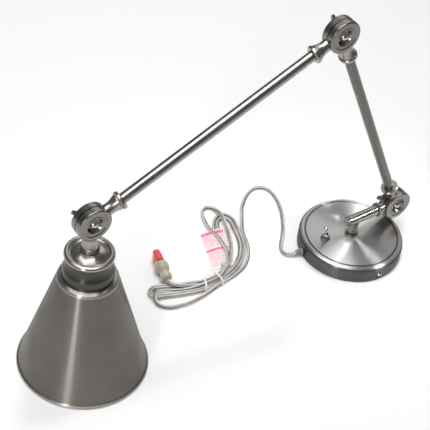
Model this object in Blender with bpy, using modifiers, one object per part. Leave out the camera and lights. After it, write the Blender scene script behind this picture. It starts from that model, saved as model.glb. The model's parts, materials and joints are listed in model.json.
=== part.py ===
"""Plug-in swing-arm wall lamp (pharmacy style) in brushed nickel.

The lamp lies as it does on a table: the backplate and the shade's mouth both rest on z = 0.
Origin: centre of the backplate's mounting face. +Z is the plate's normal, +X runs along the stub
arm, and every knuckle turns about an axis parallel to Y. Units are metres.
"""

import math

import bmesh
import bpy
from mathutils import Matrix, Vector

# ------------------------------------------------------------------ driving dimensions
GAP = 0.0003                # clearance between touching pieces

PLATE_R = 0.0667            # backplate, 5 1/4 in across
PLATE_TOP = 0.0208          # height of the plate's front face
PLATE_SHEET = 0.0014
PLATE_FACE_R = 0.0580       # raised face inside the groove

POST_R = 0.0065
POST_THREAD_R = 0.0050
POST_FOOT_Z = 0.0100        # lower end of the post's thread, inside the plate
COLLAR_TOP = 0.0244         # swivel collar at the foot of the post
STUB_Z = 0.0455             # height of the stub arm's axis
STUB_R = 0.00675
STUB_BACK_X = -0.0125       # closed end of the stub arm
STUB_NECK_END = 0.0306      # lower knuckle's axis to the end of its short neck

TUBE_R = 0.0060             # lower and upper arm tubes
TUBE_BORE_R = 0.0050
LOWER_ARM = 0.348           # knuckle to knuckle
UPPER_ARM = 0.333
LOWER_ARM_LEAN = 116.8      # degrees from +X towards +Z

PUCK_R = 0.0200             # the two discs of a knuckle
PUCK_INNER = 0.0006         # each disc starts this far from the parting plane
PUCK_OUTER = 0.0087
PUCK_CLEAR_R = 0.0204       # a neck stays outside this radius on the other disc's side
CUP_FLOOR = 0.0036          # the front disc's cup, measured from the parting plane
NECK_ROOT = 0.0150
NECK_END = 0.0392           # joint centre to the end of a full-length neck
NECK_SOCKET = 0.0100        # depth of the hole in a neck's end
RING_R = 0.0107
BOLT_R = 0.0030
BOLT_HOLE_R = 0.0033
BOLT_TIP = 0.0190
PLAIN_WASHER = 0.0010
WING_HEIGHT = 0.0072

SHADE_RIM_R = 0.0748        # mouth of the shade, 150 mm across
SHADE_TOP = 0.1370          # mouth to the shade's top flange
SHADE_SHEET = 0.0009
SHADE_HOLE_R = 0.0200
HEAD_DROP = 0.2139          # head knuckle's axis to the shade's mouth
NIPPLE_R = 0.0048

TOGGLE_SPOT = (-0.0353, 0.0091)
TOGGLE_PIVOT_Z = 0.0240
TOGGLE_LEAN = 12.0          # degrees either side of upright
TOGGLE_BUSHING_R = 0.0039

BRACKET_TURN = -5.0         # degrees about Z
BRACKET_HALF = 0.0620
BRACKET_SHEET = 0.0016
BRACKET_WIRE_HOLE_Y = 0.0180
SIDE_SCREW_Z = 0.0092
CORD_EXIT_ANGLE = 167.0     # degrees from +X, where the cord leaves the plate's side
CORD_EXIT_Z = 0.0056
RELIEF_REACH = 0.0090       # strain relief beyond the plate's side
RELIEF_INSIDE = 0.0120
CORD_R = 0.0022
CORD_SPACING = 0.0090       # between the points of the loose cord
HANK_LOW = 0.00075
HANK_HIGH = 0.0095

LARGE_STEPS = 52            # sides of the turned pieces
DISC_STEPS = 32
MEDIUM_STEPS = 20
SMALL_STEPS = 14


def polar(radius, degrees, height=0.0):
    angle = math.radians(degrees)
    return Vector((radius * math.cos(angle), radius * math.sin(angle), height))


def in_arm_plane(degrees):
    """Direction in the plane of the arms, from +X towards +Z."""
    angle = math.radians(degrees)
    return Vector((math.cos(angle), 0.0, math.sin(angle)))


STUB_DIR = in_arm_plane(0.0)
DOWN = in_arm_plane(-90.0)
LOWER_DIR = in_arm_plane(LOWER_ARM_LEAN)
LOWER_JOINT = Vector((0.0651, 0.0, STUB_Z))
ELBOW_JOINT = LOWER_JOINT + LOWER_ARM * LOWER_DIR
# The upper arm falls by the angle that puts the shade's mouth on z = 0.
UPPER_FALL = math.degrees(math.asin((ELBOW_JOINT.z - HEAD_DROP) / UPPER_ARM))
UPPER_DIR = in_arm_plane(180.0 + UPPER_FALL)
HEAD_JOINT = ELBOW_JOINT + UPPER_ARM * UPPER_DIR

# Direction of one wing of each wing nut, in degrees from +X towards +Z.
WING_ANGLES = {"lower": 167.0, "elbow": 103.0, "head": 153.0}

# The cord's loose lead on the table, from the strain relief to the hank.
LEAD_ROUTE = [
    (-0.0786, 0.0182, 0.0053), (-0.0836, 0.0212, 0.0044), (-0.0858, 0.0268, 0.0033),
    (-0.0842, 0.0335, 0.0026), (-0.0790, 0.0405, 0.0024), (-0.0700, 0.0500, 0.0024),
    (-0.0580, 0.0640, 0.0024), (-0.0460, 0.0820, 0.0024), (-0.0370, 0.1000, 0.0024),
    (-0.0318, 0.1180, 0.0024), (-0.0330, 0.1340, 0.0024), (-0.0430, 0.1420, 0.0024),
    (-0.0560, 0.1405, 0.0024), (-0.0690, 0.1330, 0.0024), (-0.0820, 0.1215, 0.0024),
    (-0.0920, 0.1085, 0.0024), (-0.1008, 0.0945, 0.0024),
]

# Outer edge of the tied hank, which lies flat. It starts and ends at the lead, whose cut face it
# meets between the last point and the first.
HANK_OUTLINE = [
    (-0.0988, 0.0929), (-0.1030, 0.0815), (-0.1086, 0.0705), (-0.1190, 0.0520), (-0.1360, 0.0325),
    (-0.1580, 0.0200), (-0.1800, 0.0150), (-0.2030, 0.0140), (-0.2270, 0.0095), (-0.2480, 0.0080),
    (-0.2670, 0.0130), (-0.2760, 0.0270), (-0.2740, 0.0440), (-0.2635, 0.0550), (-0.2560, 0.0538),
    (-0.2460, 0.0506), (-0.2330, 0.0460), (-0.2240, 0.0433), (-0.2030, 0.0352), (-0.1790, 0.0365),
    (-0.1600, 0.0500),
    (-0.1500, 0.0720), (-0.1450, 0.0960), (-0.1420, 0.1220), (-0.1340, 0.1400), (-0.1230, 0.1445),
    (-0.1120, 0.1360), (-0.1050, 0.1170), (-0.1032, 0.0956),
]

PLUG_BASE = Vector((-0.2445, 0.0513, 0.0094))
PLUG_ALONG = Vector((0.24, 0.971, 0.0)).normalized()
PLUG_FACE = 0.0279          # from the plug's cord end to its front face
BLADE_SPACING = 0.0127
BLADE_LENGTH = 0.0160

# Centre, turn about Z in degrees, and half length of the two bands that tie the hank.
TIES = [((-0.2063, 0.0243), -20.0, 0.0140), ((-0.1850, 0.0257), 5.0, 0.0122)]
TAG_CENTRE = (-0.1575, 0.0730)
TAG_SIZE = (0.0365, 0.0640)
TAG_TURN = -21.0

FINISHES = {                # colour, roughness, metallic
    "nickel": ((0.56, 0.54, 0.51), 0.30, 1.0),
    "polished": ((0.62, 0.60, 0.57), 0.14, 1.0),
    "steel": ((0.45, 0.45, 0.46), 0.40, 1.0),
    "brass": ((0.70, 0.55, 0.28), 0.35, 1.0),
    "fibre": ((0.12, 0.10, 0.09), 0.80, 0.0),
    "phenolic": ((0.03, 0.03, 0.03), 0.45, 0.0),
    "clear_vinyl": ((0.62, 0.60, 0.53), 0.25, 0.0),
    "tan_vinyl": ((0.45, 0.40, 0.28), 0.30, 0.0),
    "red_plastic": ((0.75, 0.06, 0.04), 0.35, 0.0),
    "white_plastic": ((0.85, 0.85, 0.83), 0.45, 0.0),
    "paper": ((0.88, 0.80, 0.80), 0.70, 0.0),
}

LAMP = bpy.data.collections.new("swing_arm_wall_lamp")
CUTTERS = bpy.data.collections.new("cutters")


# ------------------------------------------------------------------ placing
def turn_to(direction):
    """Rotation that takes a turned piece's own Z axis to the given direction."""
    return Vector((0.0, 0.0, 1.0)).rotation_difference(Vector(direction)).to_matrix().to_4x4()


def aim(origin, direction):
    return Matrix.Translation(origin) @ turn_to(direction)


def axes(origin, x_axis, y_axis):
    """Frame at origin with the given X and Y axes, which are square to each other."""
    x_axis = Vector(x_axis).normalized()
    y_axis = Vector(y_axis).normalized()
    rotation = Matrix((x_axis, y_axis, x_axis.cross(y_axis))).transposed()
    return Matrix.Translation(origin) @ rotation.to_4x4()


def add_empty(name, origin, parent=None):
    pivot = bpy.data.objects.new(name, None)
    LAMP.objects.link(pivot)
    pivot.parent = parent
    pivot.matrix_world = Matrix.Translation(origin)
    bpy.context.view_layer.update()
    return pivot


def adopt(pivot, *pieces):
    """Parent pieces to a pivot while they keep their places."""
    bpy.context.view_layer.update()
    for piece in pieces:
        world = piece.matrix_world.copy()
        piece.parent = pivot
        piece.matrix_world = world


def show(obj, finish, matrix=None):
    """Put a piece in the lamp's collection, with a material of its own."""
    colour, roughness, metallic = FINISHES[finish]
    material = bpy.data.materials.new(obj.name)
    material.use_nodes = True
    shader = material.node_tree.nodes["Principled BSDF"]
    shader.inputs["Base Color"].default_value = (*colour, 1.0)
    shader.inputs["Roughness"].default_value = roughness
    shader.inputs["Metallic"].default_value = metallic
    material.diffuse_color = (*colour, 1.0)
    obj.data.materials.clear()
    obj.data.materials.append(material)
    LAMP.objects.link(obj)
    if matrix is not None:
        obj.matrix_world = matrix
    return obj


def combine(obj, tool, matrix=None, operation="DIFFERENCE"):
    """Cut or join a tool object, which stays in the cutters' collection."""
    CUTTERS.objects.link(tool)
    tool.hide_render = True
    tool.display_type = "WIRE"
    if matrix is not None:
        tool.matrix_world = matrix
    modifier = obj.modifiers.new(tool.name, "BOOLEAN")
    modifier.operation = operation
    modifier.object = tool


# ------------------------------------------------------------------ shapes
def arc(centre, radius, start, end, count):
    """Points of an arc in (radius, height), angles in degrees from the outward direction."""
    points = []
    for i in range(count + 1):
        angle = math.radians(start + (end - start) * i / count)
        points.append((centre[0] + radius * math.cos(angle), centre[1] + radius * math.sin(angle)))
    return points


def lathe(name, profile, steps):
    """A (radius, height) profile turned about Z.

    It runs down its outer side. A profile with an end off the axis is closed into a ring.
    """
    edges = [(i, i + 1) for i in range(len(profile) - 1)]
    if profile[0][0] > 0:
        edges.append((len(profile) - 1, 0))
    mesh = bpy.data.meshes.new(name)
    mesh.from_pydata([(radius, 0.0, height) for radius, height in profile], edges, [])
    obj = bpy.data.objects.new(name, mesh)
    screw = obj.modifiers.new("turn", "SCREW")
    screw.steps = steps
    screw.render_steps = steps
    screw.use_merge_vertices = True
    screw.merge_threshold = 0.00001
    return obj


def turned(name, profile, finish, matrix=None, steps=MEDIUM_STEPS):
    return show(lathe(name, profile, steps), finish, matrix)


def from_bmesh(name, build):
    bm = bmesh.new()
    build(bm)
    mesh = bpy.data.meshes.new(name)
    bm.to_mesh(mesh)
    bm.free()
    return bpy.data.objects.new(name, mesh)


def block(name, low, high):
    centre = (Vector(low) + Vector(high)) / 2
    size = Vector(high) - Vector(low)
    matrix = Matrix.Translation(centre) @ Matrix.Diagonal((*size, 1.0))
    return from_bmesh(name, lambda bm: bmesh.ops.create_cube(bm, size=1.0, matrix=matrix))


def cylinder(name, radius, low, high, segments=MEDIUM_STEPS):
    matrix = Matrix.Translation((0.0, 0.0, (low + high) / 2))
    return from_bmesh(name, lambda bm: bmesh.ops.create_cone(
        bm, cap_ends=True, segments=segments, radius1=radius, radius2=radius, depth=high - low,
        matrix=matrix))


def bevel(obj, width, segments=2):
    modifier = obj.modifiers.new("edges", "BEVEL")
    modifier.width = width
    modifier.segments = segments
    modifier.limit_method = "ANGLE"
    modifier.angle_limit = math.radians(40)


def flat_outline(name, points, thickness):
    """A closed outline in XY, extruded evenly either side of z = 0."""
    curve = bpy.data.curves.new(name, "CURVE")
    curve.dimensions = "2D"
    curve.fill_mode = "BOTH"
    curve.extrude = thickness / 2
    spline = curve.splines.new("POLY")
    spline.points.add(len(points) - 1)
    for point, (x, y) in zip(spline.points, points):
        point.co = (x, y, 0.0, 1.0)
    spline.use_cyclic_u = True
    return bpy.data.objects.new(name, curve)


def as_mesh(curve_object):
    """The same solid as a welded mesh object, which can be cut or joined."""
    name = curve_object.name
    LAMP.objects.link(curve_object)
    graph = bpy.context.evaluated_depsgraph_get()
    mesh = bpy.data.meshes.new_from_object(curve_object.evaluated_get(graph))
    bm = bmesh.new()
    bm.from_mesh(mesh)
    bmesh.ops.remove_doubles(bm, verts=bm.verts, dist=0.000001)
    bmesh.ops.recalc_face_normals(bm, faces=bm.faces)
    bm.to_mesh(mesh)
    bm.free()
    world = curve_object.matrix_world.copy()
    bpy.data.objects.remove(curve_object)
    solid = bpy.data.objects.new(name, mesh)
    solid.matrix_world = world
    return solid


def wire(name, points, radius, finish):
    curve = bpy.data.curves.new(name, "CURVE")
    curve.dimensions = "3D"
    curve.bevel_depth = radius
    curve.bevel_resolution = 2
    curve.use_fill_caps = True
    spline = curve.splines.new("POLY")
    spline.points.add(len(points) - 1)
    for point, spot in zip(spline.points, points):
        point.co = (*spot, 1.0)
    return show(bpy.data.objects.new(name, curve), finish)


def smooth_curve(route, spacing):
    """Evenly spaced points on a smooth curve through the route's points."""
    route = [Vector(point) for point in route]
    ends = [route[0] * 2 - route[1], *route, route[-1] * 2 - route[-2]]
    dense = []
    for a, b, c, d in zip(ends, ends[1:], ends[2:], ends[3:]):
        for i in range(24):
            t = i / 24
            dense.append((2 * b + (c - a) * t + (2 * a - 5 * b + 4 * c - d) * t * t
                          + (3 * b - a - 3 * c + d) * t * t * t) / 2)
    dense.append(route[-1])
    reach = [0.0]
    for a, b in zip(dense, dense[1:]):
        reach.append(reach[-1] + (b - a).length)
    count = round(reach[-1] / spacing)
    points = []
    k = 0
    for i in range(count + 1):
        target = reach[-1] * i / count
        while k < len(reach) - 2 and reach[k + 1] < target:
            k += 1
        points.append(dense[k].lerp(dense[k + 1], (target - reach[k]) / (reach[k + 1] - reach[k])))
    return points


def bar_with_round_ends(half_length, radius, count=6):
    points = []
    for side, start in ((1, -90.0), (-1, 90.0)):
        for x, y in arc((0.0, 0.0), radius, start, start + 180.0, count):
            points.append((side * half_length + x, y))
    return points


# ------------------------------------------------------------------ backplate and its bracket
def side_screw_aims():
    """Angle and direction of the two screws in the plate's side, in line with the bracket."""
    for angle in (-90.0 + BRACKET_TURN, 90.0 + BRACKET_TURN):
        yield angle, polar(1.0, angle)


def build_backplate():
    top = PLATE_TOP
    under = PLATE_TOP - PLATE_SHEET
    inside = PLATE_R - PLATE_SHEET
    hole = POST_THREAD_R + GAP
    lip_r = 0.0052
    lip = arc((PLATE_R - lip_r, top - lip_r - 0.0002), lip_r, 90.0, 0.0, 5)
    groove = [(PLATE_FACE_R, top), (PLATE_FACE_R + 0.0005, top - 0.0009),
              (PLATE_FACE_R + 0.0014, top - 0.0010), (PLATE_FACE_R + 0.0021, top - 0.0004)]
    profile = [(hole, top), *groove, *lip, (PLATE_R, 0.0), (inside, 0.0), (inside, 0.0150),
               (inside - 0.0020, 0.0178), (PLATE_FACE_R + 0.0030, under - 0.0008),
               (PLATE_FACE_R - 0.0012, under - 0.0008), (PLATE_FACE_R - 0.0024, under), (hole, under)]
    plate = turned("backplate", profile, "nickel", steps=LARGE_STEPS)
    toggle_hole = cylinder("toggle_hole", TOGGLE_BUSHING_R + GAP, 0.010, 0.030)
    combine(plate, toggle_hole, Matrix.Translation((*TOGGLE_SPOT, 0.0)))
    cord_hole = cylinder("cord_hole", 0.0040, -0.010, 0.010)
    combine(plate, cord_hole, aim(polar(PLATE_R, CORD_EXIT_ANGLE, CORD_EXIT_Z),
                                  polar(1.0, CORD_EXIT_ANGLE)))
    for angle, outward in side_screw_aims():
        hole = cylinder(f"side_hole_{angle:.0f}", 0.0023, -0.008, 0.008, SMALL_STEPS)
        combine(plate, hole, aim(polar(PLATE_R, angle, SIDE_SCREW_Z), outward))


def build_bracket():
    """Wall bar with bent ends that the plate's side screws thread into."""
    turn = Matrix.Rotation(math.radians(BRACKET_TURN), 4, "Z")
    half = BRACKET_HALF
    bar = show(block("wall_bracket", (-0.0095, -half, 0.0), (0.0095, half, BRACKET_SHEET)), "steel", turn)
    for side in (-1, 1):
        ends = sorted((side * half, side * (half - BRACKET_SHEET)))
        tab = block(f"bracket_tab_{side}", (-0.0070, ends[0], 0.0004), (0.0070, ends[1], 0.0140))
        combine(bar, tab, turn, "UNION")
    for side in (-1, 1):
        slot = as_mesh(flat_outline(f"bracket_slot_{side}", bar_with_round_ends(0.0085, 0.0025), 0.010))
        combine(bar, slot, turn @ axes((0.0, side * 0.0415, 0.0), (0, 1, 0), (-1, 0, 0)))
    for angle, outward in side_screw_aims():
        thread = cylinder(f"bracket_thread_{angle:.0f}", 0.0022, -0.004, 0.004, SMALL_STEPS)
        combine(bar, thread, aim(polar(half, angle, SIDE_SCREW_Z), outward))
    combine(bar, cylinder("bracket_wire_hole", 0.0050, -0.010, 0.010, SMALL_STEPS),
            turn @ Matrix.Translation((0.0, BRACKET_WIRE_HOLE_Y, 0.0)))


def build_side_screws():
    """Two round-head screws through the plate's side wall into the bracket."""
    head = PLATE_R + GAP
    dome = arc((0.0, head - 0.0006), 0.0030, 90.0, 25.0, 4)
    shank = BRACKET_HALF - 0.0040
    profile = [*dome, (0.0030, head), (0.0019, head), (0.0019, shank), (0.0, shank)]
    for number, (_, outward) in enumerate(side_screw_aims()):
        turned(f"side_screw_{number + 1}", profile, "polished",
               aim((0.0, 0.0, SIDE_SCREW_Z), outward), SMALL_STEPS)


# ------------------------------------------------------------------ switch
def build_switch():
    x, y = TOGGLE_SPOT
    under = PLATE_TOP - PLATE_SHEET
    body_top = under - 2 * GAP
    place = Matrix.Translation((x, y, 0.0))
    body = show(block("switch_body", (x - 0.0065, y - 0.0045, body_top - 0.0100),
                      (x + 0.0065, y + 0.0045, body_top)), "phenolic")
    bevel(body, 0.0005, 1)
    r = TOGGLE_BUSHING_R
    foot = body_top + GAP
    turned("switch_bushing", [
        (0.0, 0.0215), (0.0020, 0.0215), (0.0025, TOGGLE_PIVOT_Z), (0.0031, 0.0278), (r - 0.0003, 0.0278),
        (r, 0.0274), (r, foot), (0.0, foot),
    ], "polished", place, SMALL_STEPS)
    low = PLATE_TOP + GAP
    nut_bore = r + GAP
    turned("switch_nut", [
        (nut_bore, low + 0.0034), (0.0050, low + 0.0034), (0.0056, low + 0.0028), (0.0056, low + 0.0006),
        (0.0062, low + 0.0004), (0.0062, low), (nut_bore, low),
    ], "nickel", place, SMALL_STEPS)
    pivot = add_empty("toggle_pivot", (x, y, TOGGLE_PIVOT_Z))
    ball = arc((0.0, 0.0136), 0.0030, 90.0, -60.0, 6)
    lean = Matrix.Rotation(math.radians(-TOGGLE_LEAN), 4, "Y")
    lever = turned("toggle_lever", [
        *ball, (0.0017, 0.0010), (0.0018, 0.0), (0.0012, -0.0014), (0.0, -0.0020),
    ], "polished", Matrix.Translation((x, y, TOGGLE_PIVOT_Z)) @ lean, SMALL_STEPS)
    adopt(pivot, lever)


# ------------------------------------------------------------------ swivel post and stub arm
def build_post(swivel):
    """Collar on the plate, post, and the washer and nut that hold it from inside."""
    r = POST_THREAD_R
    top = COLLAR_TOP
    low = PLATE_TOP + GAP
    turned("swivel_collar", [
        (r + GAP, top), (0.0074, top), (0.0082, top - 0.0008), (0.0085, low + 0.0006), (0.0080, low),
        (r + GAP, low),
    ], "polished")
    post = turned("swivel_post", [
        (0.0, STUB_Z), (POST_R, STUB_Z), (POST_R, top + 0.0009), (POST_R - 0.0006, top + GAP),
        (r, top + GAP), (r, POST_FOOT_Z + 0.0005), (r - 0.0005, POST_FOOT_Z), (0.0032, POST_FOOT_Z),
        (0.0032, STUB_Z - 0.0110), (0.0, STUB_Z - 0.0110),
    ], "nickel")
    saddle = cylinder("post_saddle", STUB_R + GAP, -0.020, 0.020, 48)
    combine(post, saddle, aim((0.0, 0.0, STUB_Z), STUB_DIR))
    under = PLATE_TOP - PLATE_SHEET - GAP
    washer = turned("swivel_washer", [
        (r + GAP, under), (0.0095, under), (0.0095, under - 0.0010), (r + GAP, under - 0.0010),
    ], "steel")
    nut_top = under - 0.0010 - GAP
    nut = show(cylinder("swivel_nut", 0.0092, nut_top - 0.0050, nut_top, 6), "brass")
    combine(nut, cylinder("swivel_nut_bore", r + GAP, 0.0, 0.030))
    adopt(swivel, post, washer, nut)


def build_stub(swivel):
    along = aim((0.0, 0.0, STUB_Z), STUB_DIR)
    end = LOWER_JOINT.x - STUB_NECK_END + GAP
    plug_end = end + NECK_SOCKET - 2 * GAP
    back = STUB_BACK_X + 0.0022
    bore = STUB_R - 0.0013
    inner = bore - GAP
    spigot = 0.0047
    tube = turned("stub_tube", [
        (bore - 0.0016, plug_end), (spigot, plug_end), (spigot, end - 2 * GAP),
        (STUB_R, end - 2 * GAP), (STUB_R, back), (bore, back), (bore, end - 0.0040),
        (bore - 0.0016, end - 0.0040),
    ], "nickel", along)
    cap = turned("stub_end_cap", [
        (0.0, back + 0.0030), (inner, back + 0.0030), (inner, back - GAP), (STUB_R, back - GAP),
        (STUB_R, STUB_BACK_X + 0.0005), (STUB_R - 0.0005, STUB_BACK_X), (0.0, STUB_BACK_X),
    ], "nickel", along)
    adopt(swivel, tube, cap)
    return spigot


# ------------------------------------------------------------------ knuckles
def disc_profile(front):
    """One disc of a knuckle; heights run outward from the parting plane."""
    edge = arc((PUCK_R - 0.0016, PUCK_OUTER - 0.0016), 0.0016, 90.0, 0.0, 3)
    face = [(BOLT_HOLE_R, PUCK_OUTER)]
    if front:
        face = [(BOLT_HOLE_R, CUP_FLOOR), (0.0068, CUP_FLOOR), (0.0092, 0.0078), (0.0101, 0.0085),
                (0.0114, 0.0085), (0.0121, 0.0078), (0.0140, 0.0078), (0.0150, PUCK_OUTER)]
    return [*face, *edge, (PUCK_R, PUCK_INNER), (BOLT_HOLE_R, PUCK_INNER)]


def neck_profile(socket_r, end, full_length):
    """Trumpet neck; heights run from the joint's centre, with a socket in the open end."""
    if full_length:
        outer = [(0.0098, end), (RING_R, end - 0.0008), (RING_R, end - 0.0036), (0.0100, end - 0.0044),
                 (0.0090, end - 0.0050), (0.0092, end - 0.0058), (0.0080, end - 0.0090),
                 (0.0069, end - 0.0130), (0.0068, 0.0230), (0.0072, NECK_ROOT)]
    else:
        outer = [(0.0082, end), (0.0093, end - 0.0008), (0.0093, end - 0.0032), (0.0084, end - 0.0040),
                 (0.0064, end - 0.0052), (0.0063, 0.0215), (0.0072, NECK_ROOT)]
    floor = end - NECK_SOCKET
    return [(0.0, floor), (socket_r, floor), (socket_r, end), *outer, (0.0, NECK_ROOT)]


def knuckle_half(name, joint, direction, front, socket_r, end=NECK_END):
    """One casting: a disc on its own side of the parting plane, and a neck along direction."""
    facing = aim(joint, (0.0, -1.0 if front else 1.0, 0.0))
    half = turned(name, disc_profile(front), "nickel", facing, DISC_STEPS)
    neck = lathe(f"{name}_neck", neck_profile(socket_r, end, end == NECK_END), MEDIUM_STEPS)
    clearance = cylinder(f"{name}_clearance", PUCK_CLEAR_R, -0.0300, PUCK_INNER, DISC_STEPS)
    combine(neck, clearance, facing)
    combine(half, neck, aim(joint, direction), "UNION")
    return half


def build_clamp(name, joint):
    """Bolt, friction washer and plain washer of one knuckle."""
    seat = CUP_FLOOR + GAP
    dome = arc((0.0, seat + 0.0002), 0.0050, 90.0, 12.0, 4)
    bolt = turned(f"{name}_bolt", [
        *dome, (0.0050, seat), (BOLT_R, seat), (BOLT_R, 0.0006 - BOLT_TIP), (BOLT_R - 0.0006, -BOLT_TIP),
        (0.0, -BOLT_TIP),
    ], "polished", aim(joint, (0.0, -1.0, 0.0)), SMALL_STEPS)
    rear = aim(joint, (0.0, 1.0, 0.0))
    half = PUCK_INNER - GAP
    friction = turned(f"{name}_friction_washer", [
        (BOLT_HOLE_R, half), (0.0185, half), (0.0185, -half), (BOLT_HOLE_R, -half),
    ], "fibre", rear)
    low = PUCK_OUTER + GAP
    plain = turned(f"{name}_plain_washer", [
        (BOLT_HOLE_R, low + PLAIN_WASHER), (0.0074, low + PLAIN_WASHER), (0.0074, low), (BOLT_HOLE_R, low),
    ], "steel", rear, SMALL_STEPS)
    return bolt, friction, plain


def build_wing_nut(name, joint, body_pivot):
    """Hub with two upswept wings behind the knuckle, on a pivot of its own."""
    base = PUCK_OUTER + PLAIN_WASHER + 2 * GAP
    top = base + WING_HEIGHT
    hub = turned(f"{name}_wing_nut", [
        (BOLT_HOLE_R, top), (0.0048, top), (0.0060, base + 0.0020), (0.0062, base), (BOLT_HOLE_R, base),
    ], "nickel", aim(joint, (0.0, 1.0, 0.0)), SMALL_STEPS)
    tip = arc((0.0158, base + 0.0036), 0.0023, -70.0, 120.0, 4)
    wing = [(0.0044, base + 0.0006), (0.0085, base + 0.0005), (0.0130, base + 0.0011), *tip,
            (0.0112, base + 0.0052), (0.0078, base + 0.0056), (0.0044, base + 0.0064)]
    for side in (1, -1):
        lean = side * in_arm_plane(WING_ANGLES[name])
        plate = as_mesh(flat_outline(f"{name}_wing_{side}", wing, 0.0030))
        combine(hub, plate, axes(joint, lean, (0.0, 1.0, 0.0)), "UNION")
    pivot = add_empty(f"{name}_wing_pivot", joint, body_pivot)
    adopt(pivot, hub)


def build_knuckle(name, joint, front, rear):
    """front and rear are (node, neck direction, socket radius, neck end, pivot) of the two castings."""
    for is_front, (node, direction, socket_r, end, pivot) in ((True, front), (False, rear)):
        adopt(pivot, knuckle_half(node, joint, direction, is_front, socket_r, end))
    adopt(front[-1], *build_clamp(name, joint))
    build_wing_nut(name, joint, front[-1])


def build_arm_tube(name, start, direction, length, pivot):
    """Hollow tube between the sockets of two necks."""
    seat = NECK_END - NECK_SOCKET + GAP
    adopt(pivot, turned(name, [
        (TUBE_BORE_R, length - seat), (TUBE_R, length - seat), (TUBE_R, seat), (TUBE_BORE_R, seat),
    ], "nickel", aim(start, direction)))


# ------------------------------------------------------------------ lamp head
def build_head(head):
    """Everything below the head knuckle, turned about the shade's upright axis."""
    here = Matrix.Translation((HEAD_JOINT.x, 0.0, 0.0))
    neck_foot = HEAD_DROP - NECK_END
    hole = NIPPLE_R + GAP
    nipple = turned("head_nipple", [
        (0.0034, neck_foot + 0.0095), (NIPPLE_R, neck_foot + 0.0095), (NIPPLE_R, 0.1520), (0.0034, 0.1520),
    ], "brass", here, SMALL_STEPS)
    top = neck_foot - GAP
    lip = arc((0.0244, 0.1681), 0.0034, 142.0, -48.0, 6)
    low = SHADE_TOP + GAP
    cover = turned("socket_cover", [
        (hole, top), (0.0108, top - 0.0002), (0.0145, top - 0.0012), (0.0180, top - 0.0028),
        (0.0205, top - 0.0047), *lip, (0.0255, 0.1645), (0.0247, 0.1620), (0.0248, 0.1580),
        (0.0259, 0.1532), (0.0276, 0.1498), (0.0285, 0.1476), (0.0286, 0.1400), (0.0276, low),
        (0.0268, low + 0.0006), (0.0272, 0.1474), (0.0262, 0.1492), (0.0246, 0.1528),
        (0.0235, 0.1576), (0.0236, 0.1650), (0.0210, top - 0.0066), (0.0160, top - 0.0027),
        (0.0112, top - 0.0014), (hole, top - 0.0012),
    ], "nickel", here, DISC_STEPS)
    nut_top = top - 0.0014 - GAP
    locknut = show(cylinder("head_locknut", 0.0088, nut_top - 0.0035, nut_top, 6), "brass", here)
    combine(locknut, cylinder("head_locknut_bore", hole, 0.150, 0.190), here)
    adopt(head, nipple, cover, locknut, *build_lampholder(here, hole), build_shade(here))


def build_lampholder(here, hole):
    shoulder = SHADE_TOP + GAP
    thread_r = SHADE_HOLE_R - 0.0006
    mouth = 0.1120
    deck = 0.1400
    body = turned("lampholder_body", [
        (hole, 0.1640), (0.0100, 0.1640), (0.0165, 0.1590), (0.0165, 0.1402), (0.0228, 0.1398),
        (0.0228, shoulder), (thread_r, shoulder), (thread_r, mouth), (0.0142, mouth), (0.0142, deck),
        (hole, deck),
    ], "phenolic", here)
    shell = turned("lampholder_screw_shell", [
        (0.0130, deck - GAP), (0.0138, deck - GAP), (0.0138, mouth + 0.0030), (0.0130, mouth + 0.0030),
    ], "brass", here)
    contact = turned("lampholder_contact", [
        (0.0, deck - GAP), (0.0080, deck - GAP), (0.0080, deck - 0.0010), (0.0045, deck - 0.0022),
        (0.0, deck - 0.0024),
    ], "brass", here, SMALL_STEPS)
    ring_top = SHADE_TOP - SHADE_SHEET - GAP
    ring = turned("shade_ring", [
        (SHADE_HOLE_R - GAP, ring_top), (0.0250, ring_top), (0.0250, ring_top - 0.0015),
        (0.0232, ring_top - 0.0022), (0.0232, ring_top - 0.0080), (SHADE_HOLE_R - GAP, ring_top - 0.0080),
    ], "phenolic", here)
    return body, shell, contact, ring


def build_shade(here):
    """Cone with a flat top flange, a rounded shoulder and a rolled rim."""
    sheet = SHADE_SHEET
    top = SHADE_TOP
    bead_r = 0.0019
    bead_x = SHADE_RIM_R - bead_r
    bead = arc((bead_x, bead_r), bead_r, 75.0, -180.0, 7)
    shoulder = arc((0.0308, 0.1330), 0.0030, 78.0, 18.0, 3)
    inner_shoulder = arc((0.0308, 0.1330), 0.0030 - sheet, 18.0, 78.0, 2)
    return turned("shade", [
        (SHADE_HOLE_R, top), (0.0280, top), *shoulder, (bead_x - 0.0006, 2 * bead_r + 0.0010), *bead,
        (bead_x - 0.0006 - sheet, 2 * bead_r + 0.0010), *inner_shoulder, (0.0280, top - sheet),
        (SHADE_HOLE_R, top - sheet),
    ], "nickel", here, LARGE_STEPS)


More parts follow.
